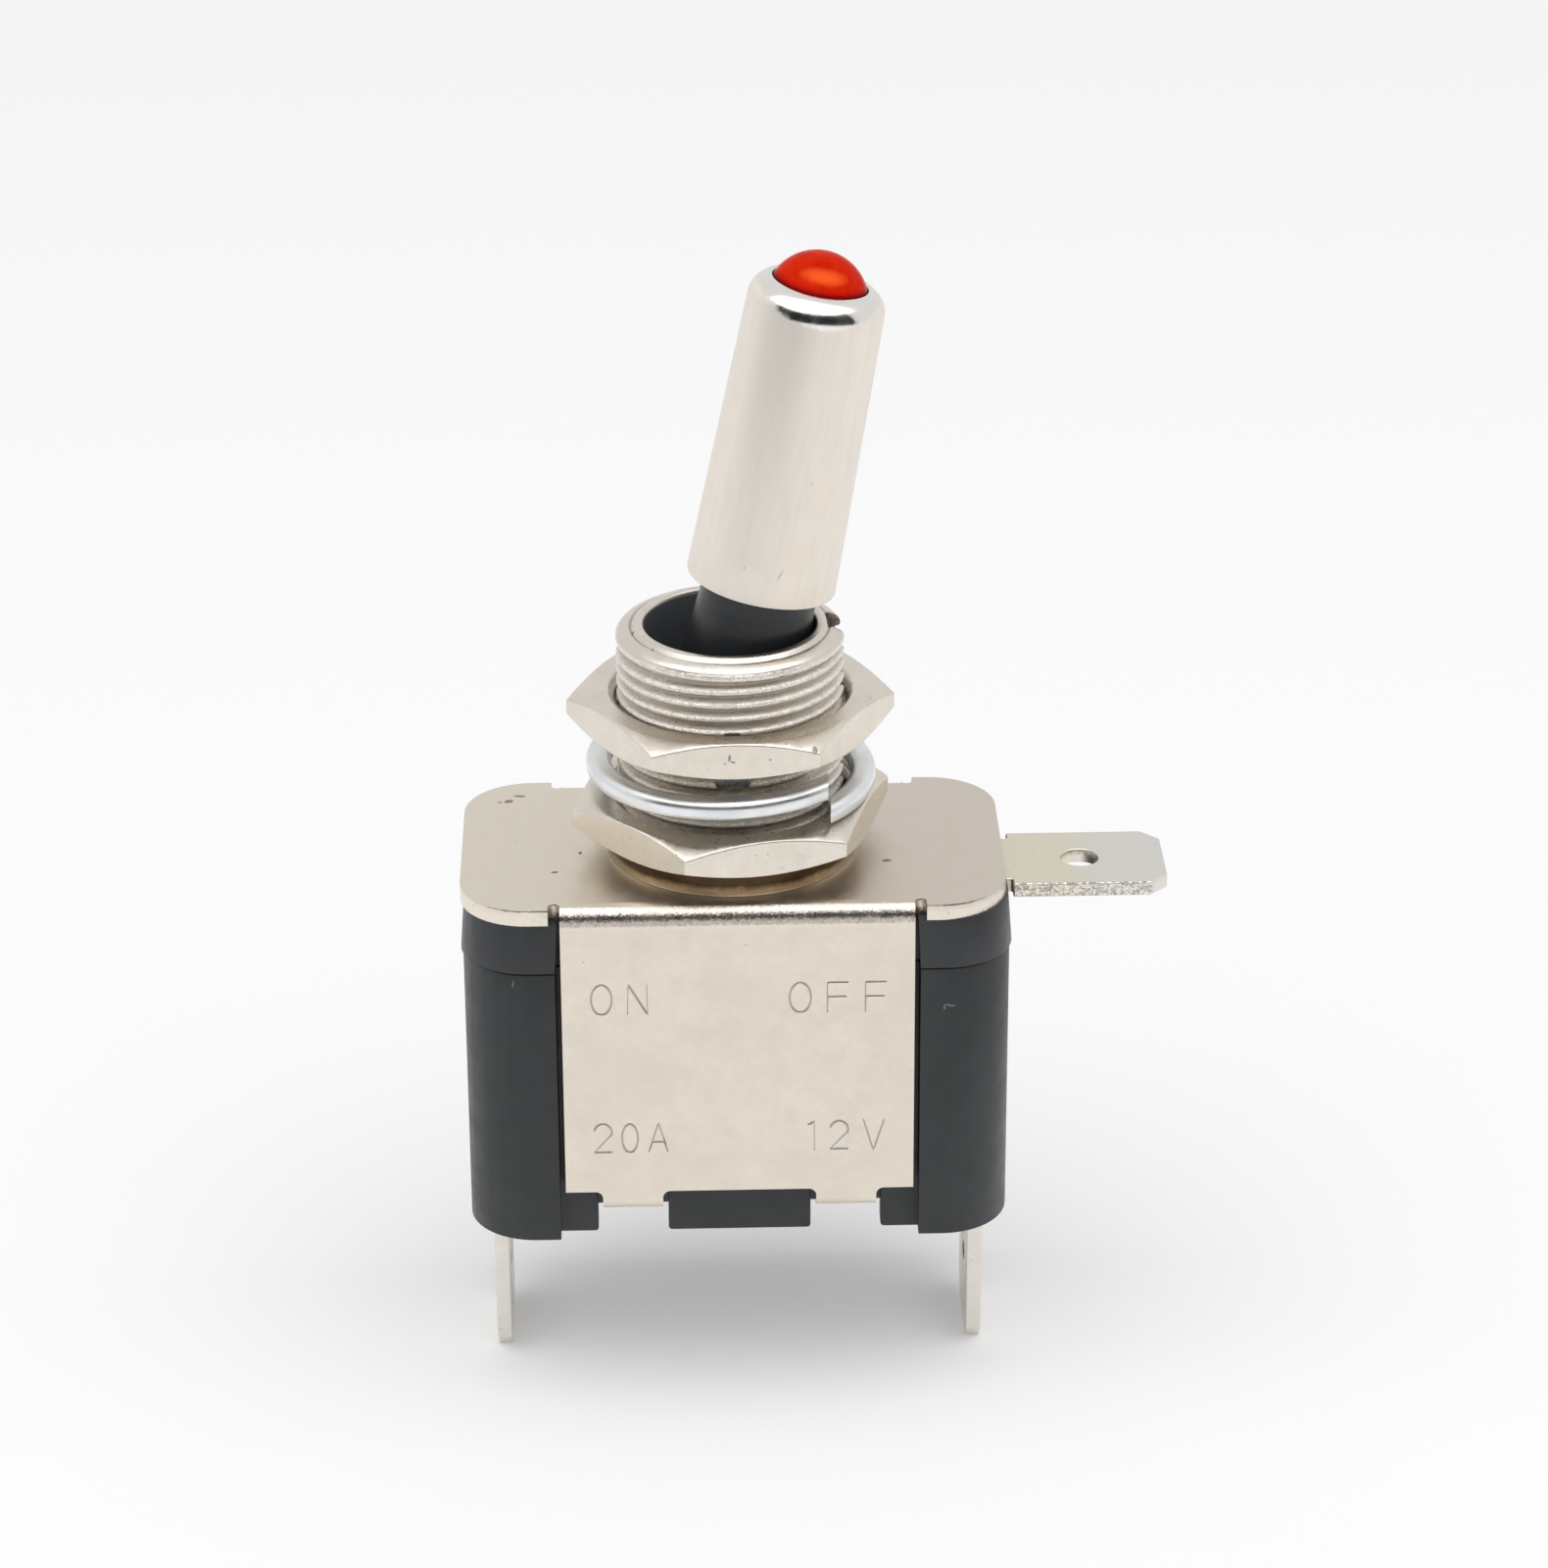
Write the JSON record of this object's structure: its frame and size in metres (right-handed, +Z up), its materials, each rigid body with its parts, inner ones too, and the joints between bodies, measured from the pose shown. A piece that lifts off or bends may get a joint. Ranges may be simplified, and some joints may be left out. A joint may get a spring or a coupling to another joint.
{
  "type": "panel toggle switch",
  "caption": "Illuminated on-off toggle switch: black case in a nickel-plated cover, threaded bushing with nuts and a lock washer, metal lever with a red lens, and blade terminals.",
  "frame": {"origin": "on the bushing's axis, at the top face of the cover plate", "axes": "+Z up the bushing's axis, +X to the OFF side where the ground tab is, +Y to the back"},
  "size_m": [0.0375, 0.0166, 0.0624],
  "materials": {
    "black_case": "moulded, satin",
    "black_lid": "moulded, satin",
    "nickel_sheet": "nickel plated sheet, satin",
    "nickel_turned": "nickel plated, turned",
    "nickel_sleeve": "nickel plated, drawn",
    "zinc_wire": "bright zinc plated",
    "tinned_brass": "tin plated, dull",
    "ground_plate": "zinc plated, slightly yellow",
    "silver_contact": "silver face",
    "copper_strip": "copper alloy strip",
    "brass_plunger": "turned brass",
    "black_stem": "moulded, semi-gloss",
    "red_lens": "clear red, glossy",
    "red_led": "tinted epoxy",
    "resistor_body": "lacquered",
    "bare_wire": "tinned wire",
    "spring_steel": "drawn wire"
  },
  "bodies": {
    "case": {"base_housing": "black_case", "housing_lid": "black_lid", "cover_frame": "nickel_sheet", "bushing": "nickel_turned", "pivot_pin": "spring_steel", "load_terminal": "tinned_brass", "supply_terminal": "tinned_brass", "fixed_contact": "silver_contact", "ground_terminal": "ground_plate"},
    "back_nut": {"lower_nut": "nickel_turned", "lock_washer": "zinc_wire"},
    "front_nut": {"upper_nut": "nickel_turned"},
    "lever": {"lever_stem": "black_stem", "lever_sleeve": "nickel_sleeve", "lens": "red_lens", "led": "red_led", "led_resistor": "resistor_body", "anode_lead": "bare_wire", "cathode_lead": "bare_wire", "plunger_spring": "spring_steel"},
    "plunger": {"plunger": "brass_plunger"},
    "rocker": {"rocker_contact": "copper_strip", "moving_contact": "silver_contact"}
  },
  "joints": [
    {"name": "lever_tilt", "type": "hinge", "parent": "case", "child": "lever", "pos_m": [0, 0, 0.0065], "axis": [0, 1, 0], "range_deg": [-21.6, 0]},
    {"name": "plunger_travel", "type": "slide", "parent": "lever", "child": "plunger", "axis": [0.1874, 0, 0.9823], "range_m": [0, 0.0004], "stiffness_N_per_m": 1500, "springref_m": -0.001, "deforming": ["plunger_spring"]},
    {"name": "rocker_tilt", "type": "hinge", "parent": "case", "child": "rocker", "pos_m": [0, 0, -0.00991], "axis": [0, 1, 0], "range_deg": [0, 14]},
    {"name": "back_nut_travel", "type": "slide", "parent": "case", "child": "back_nut", "axis": [0, 0, 1], "range_m": [0, 0.0006]},
    {"name": "front_nut_travel", "type": "slide", "parent": "case", "child": "front_nut", "axis": [0, 0, 1], "range_m": [-0.0005, 0.0032]}
  ],
  "couplings": [
    {"joint": "rocker_tilt", "follows": "lever_tilt", "ratio": -0.648}
  ]
}
